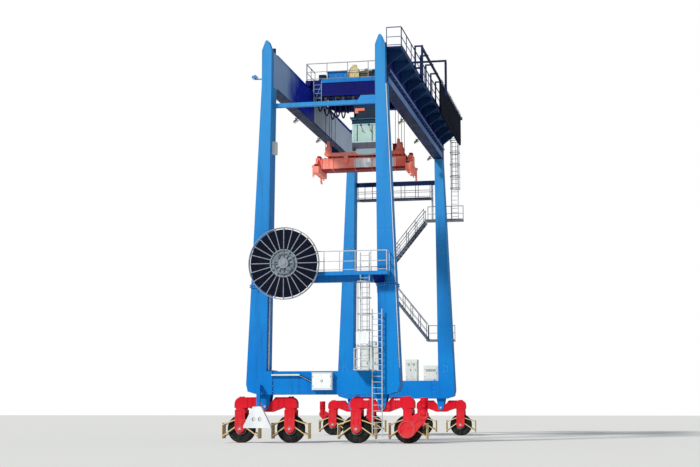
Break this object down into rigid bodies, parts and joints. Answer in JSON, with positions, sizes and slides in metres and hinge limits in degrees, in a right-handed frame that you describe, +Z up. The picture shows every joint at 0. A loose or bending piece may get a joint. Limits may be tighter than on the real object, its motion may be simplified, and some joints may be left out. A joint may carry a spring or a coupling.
{
  "type": "rubber tyred gantry crane",
  "caption": "Yard crane on steerable rubber tyres: two portal frames joined by sills and ties, with a travelling trolley, hanging cab, rope hoist, telescopic spreader and cable reel.",
  "frame": {"origin": "on the ground under the middle of the crane", "axes": "+X to the right along the travel direction when the cable reel side is seen from outside, +Y along the span away from the cable reel side, +Z up"},
  "size_m": [11.3696, 27.235, 23.9999],
  "materials": {
    "steel_blue": "satin",
    "deep_blue": "satin",
    "galvanised": "matte",
    "pale_grey": "satin",
    "cable_black": "matte",
    "drive_tan": "satin",
    "cab_glass": "gloss",
    "spreader_red": "satin",
    "bogie_red": "satin",
    "tyre_black": "matte"
  },
  "bodies": {
    "portal": {"leg_near_left": "steel_blue", "leg_near_right": "steel_blue", "leg_far_left": "steel_blue", "leg_far_right": "steel_blue", "girder_left": "deep_blue", "girder_right": "deep_blue", "sill_near": "steel_blue", "sill_far": "steel_blue", "upper_ties": "steel_blue", "near_platform": "steel_blue", "near_platform_railing": "galvanised", "far_walkway": "galvanised", "girder_walkway": "deep_blue", "festoon_rail": "deep_blue", "festoon_cables": "cable_black", "floodlight_arms": "deep_blue", "e_house": "pale_grey", "power_cabinets": "pale_grey", "stair_upper": "galvanised", "stair_lower": "galvanised", "ladders": "galvanised", "cable_guide_hood": "pale_grey", "reel_stand": "galvanised"},
    "reel": {"cable_reel": "galvanised", "reel_cable": "cable_black"},
    "trolley": {"trolley_frame": "deep_blue", "hoist_drum": "galvanised", "hoist_drives": "drive_tan", "trolley_cabinets": "steel_blue", "trolley_railing": "galvanised", "towing_arm": "deep_blue", "cab": "steel_blue", "cab_glass": "cab_glass"},
    "spreader": {"headblock": "spreader_red", "spreader_frame": "spreader_red", "hoist_ropes": "cable_black"},
    "spreader_end_left": {"spreader_end_left": "spreader_red"},
    "spreader_end_right": {"spreader_end_right": "spreader_red"},
    "bogie_near_left_beam": {"bogie_near_left": "bogie_red"},
    "bogie_near_right_beam": {"bogie_near_right": "bogie_red"},
    "bogie_far_left_beam": {"bogie_far_left": "bogie_red"},
    "bogie_far_right_beam": {"bogie_far_right": "bogie_red"},
    "fork_near_left_outer_body": {"fork_near_left_outer": "bogie_red"},
    "wheel_near_left_outer_body": {"wheel_near_left_outer": "tyre_black"},
    "fork_near_left_inner_body": {"fork_near_left_inner": "bogie_red"},
    "wheel_near_left_inner_body": {"wheel_near_left_inner": "tyre_black"},
    "fork_near_right_inner_body": {"fork_near_right_inner": "bogie_red"},
    "wheel_near_right_inner_body": {"wheel_near_right_inner": "tyre_black"},
    "fork_near_right_outer_body": {"fork_near_right_outer": "bogie_red"},
    "wheel_near_right_outer_body": {"wheel_near_right_outer": "tyre_black"},
    "fork_far_left_outer_body": {"fork_far_left_outer": "bogie_red"},
    "wheel_far_left_outer_body": {"wheel_far_left_outer": "tyre_black"},
    "fork_far_left_inner_body": {"fork_far_left_inner": "bogie_red"},
    "wheel_far_left_inner_body": {"wheel_far_left_inner": "tyre_black"},
    "fork_far_right_inner_body": {"fork_far_right_inner": "bogie_red"},
    "wheel_far_right_inner_body": {"wheel_far_right_inner": "tyre_black"},
    "fork_far_right_outer_body": {"fork_far_right_outer": "bogie_red"},
    "wheel_far_right_outer_body": {"wheel_far_right_outer": "tyre_black"}
  },
  "joints": [
    {"name": "trolley_travel", "type": "slide", "parent": "portal", "child": "trolley", "axis": [0, 1, 0], "range_m": [-8.2, 8.9]},
    {"name": "hoist", "type": "slide", "parent": "trolley", "child": "spreader", "axis": [0, 0, 1], "range_m": [-16, 1.2], "deforming": ["hoist_ropes"]},
    {"name": "spreader_end_right_slide", "type": "slide", "parent": "spreader", "child": "spreader_end_right", "axis": [1, 0, 0], "range_m": [0, 3.066]},
    {"name": "spreader_end_left_slide", "type": "slide", "parent": "spreader", "child": "spreader_end_left", "axis": [-1, 0, 0], "range_m": [0, 3.066]},
    {"name": "reel_turn", "type": "hinge", "parent": "portal", "child": "reel", "pos_m": [-1.8, -13.585, 9.45], "axis": [0, 1, 0], "continuous": true},
    {"name": "bogie_near_left_pivot", "type": "hinge", "parent": "portal", "child": "bogie_near_left_beam", "pos_m": [-3.175, -11.735, 1.93], "axis": [0, 1, 0], "range_deg": [-3, 3]},
    {"name": "bogie_near_right_pivot", "type": "hinge", "parent": "portal", "child": "bogie_near_right_beam", "pos_m": [3.175, -11.735, 1.93], "axis": [0, 1, 0], "range_deg": [-3, 3]},
    {"name": "bogie_far_left_pivot", "type": "hinge", "parent": "portal", "child": "bogie_far_left_beam", "pos_m": [-3.175, 11.735, 1.93], "axis": [0, 1, 0], "range_deg": [-3, 3]},
    {"name": "bogie_far_right_pivot", "type": "hinge", "parent": "portal", "child": "bogie_far_right_beam", "pos_m": [3.175, 11.735, 1.93], "axis": [0, 1, 0], "range_deg": [-3, 3]},
    {"name": "steering_near_left_outer", "type": "hinge", "parent": "bogie_near_left_beam", "child": "fork_near_left_outer_body", "pos_m": [-4.545, -11.735, 1.85], "axis": [0, 0, 1], "range_deg": [0, 90]},
    {"name": "wheel_spin_near_left_outer", "type": "hinge", "parent": "fork_near_left_outer_body", "child": "wheel_near_left_outer_body", "pos_m": [-4.545, -11.735, 0.745], "axis": [0, 1, 0], "continuous": true},
    {"name": "steering_near_left_inner", "type": "hinge", "parent": "bogie_near_left_beam", "child": "fork_near_left_inner_body", "pos_m": [-1.805, -11.735, 1.85], "axis": [0, 0, 1], "range_deg": [0, 90]},
    {"name": "wheel_spin_near_left_inner", "type": "hinge", "parent": "fork_near_left_inner_body", "child": "wheel_near_left_inner_body", "pos_m": [-1.805, -11.735, 0.745], "axis": [0, 1, 0], "continuous": true},
    {"name": "steering_near_right_inner", "type": "hinge", "parent": "bogie_near_right_beam", "child": "fork_near_right_inner_body", "pos_m": [1.805, -11.735, 1.85], "axis": [0, 0, 1], "range_deg": [0, 90]},
    {"name": "wheel_spin_near_right_inner", "type": "hinge", "parent": "fork_near_right_inner_body", "child": "wheel_near_right_inner_body", "pos_m": [1.805, -11.735, 0.745], "axis": [0, 1, 0], "continuous": true},
    {"name": "steering_near_right_outer", "type": "hinge", "parent": "bogie_near_right_beam", "child": "fork_near_right_outer_body", "pos_m": [4.545, -11.735, 1.85], "axis": [0, 0, 1], "range_deg": [0, 90]},
    {"name": "wheel_spin_near_right_outer", "type": "hinge", "parent": "fork_near_right_outer_body", "child": "wheel_near_right_outer_body", "pos_m": [4.545, -11.735, 0.745], "axis": [0, 1, 0], "continuous": true},
    {"name": "steering_far_left_outer", "type": "hinge", "parent": "bogie_far_left_beam", "child": "fork_far_left_outer_body", "pos_m": [-4.545, 11.735, 1.85], "axis": [0, 0, 1], "range_deg": [0, 90]},
    {"name": "wheel_spin_far_left_outer", "type": "hinge", "parent": "fork_far_left_outer_body", "child": "wheel_far_left_outer_body", "pos_m": [-4.545, 11.735, 0.745], "axis": [0, 1, 0], "continuous": true},
    {"name": "steering_far_left_inner", "type": "hinge", "parent": "bogie_far_left_beam", "child": "fork_far_left_inner_body", "pos_m": [-1.805, 11.735, 1.85], "axis": [0, 0, 1], "range_deg": [0, 90]},
    {"name": "wheel_spin_far_left_inner", "type": "hinge", "parent": "fork_far_left_inner_body", "child": "wheel_far_left_inner_body", "pos_m": [-1.805, 11.735, 0.745], "axis": [0, 1, 0], "continuous": true},
    {"name": "steering_far_right_inner", "type": "hinge", "parent": "bogie_far_right_beam", "child": "fork_far_right_inner_body", "pos_m": [1.805, 11.735, 1.85], "axis": [0, 0, 1], "range_deg": [0, 90]},
    {"name": "wheel_spin_far_right_inner", "type": "hinge", "parent": "fork_far_right_inner_body", "child": "wheel_far_right_inner_body", "pos_m": [1.805, 11.735, 0.745], "axis": [0, 1, 0], "continuous": true},
    {"name": "steering_far_right_outer", "type": "hinge", "parent": "bogie_far_right_beam", "child": "fork_far_right_outer_body", "pos_m": [4.545, 11.735, 1.85], "axis": [0, 0, 1], "range_deg": [0, 90]},
    {"name": "wheel_spin_far_right_outer", "type": "hinge", "parent": "fork_far_right_outer_body", "child": "wheel_far_right_outer_body", "pos_m": [4.545, 11.735, 0.745], "axis": [0, 1, 0], "continuous": true}
  ],
  "couplings": [
    {"joint": "spreader_end_left_slide", "follows": "spreader_end_right_slide", "ratio": 1},
    {"joint": "steering_near_left_inner", "follows": "steering_near_left_outer", "ratio": 1},
    {"joint": "steering_near_right_inner", "follows": "steering_near_right_outer", "ratio": 1},
    {"joint": "steering_far_left_inner", "follows": "steering_far_left_outer", "ratio": 1},
    {"joint": "steering_far_right_inner", "follows": "steering_far_right_outer", "ratio": 1}
  ]
}
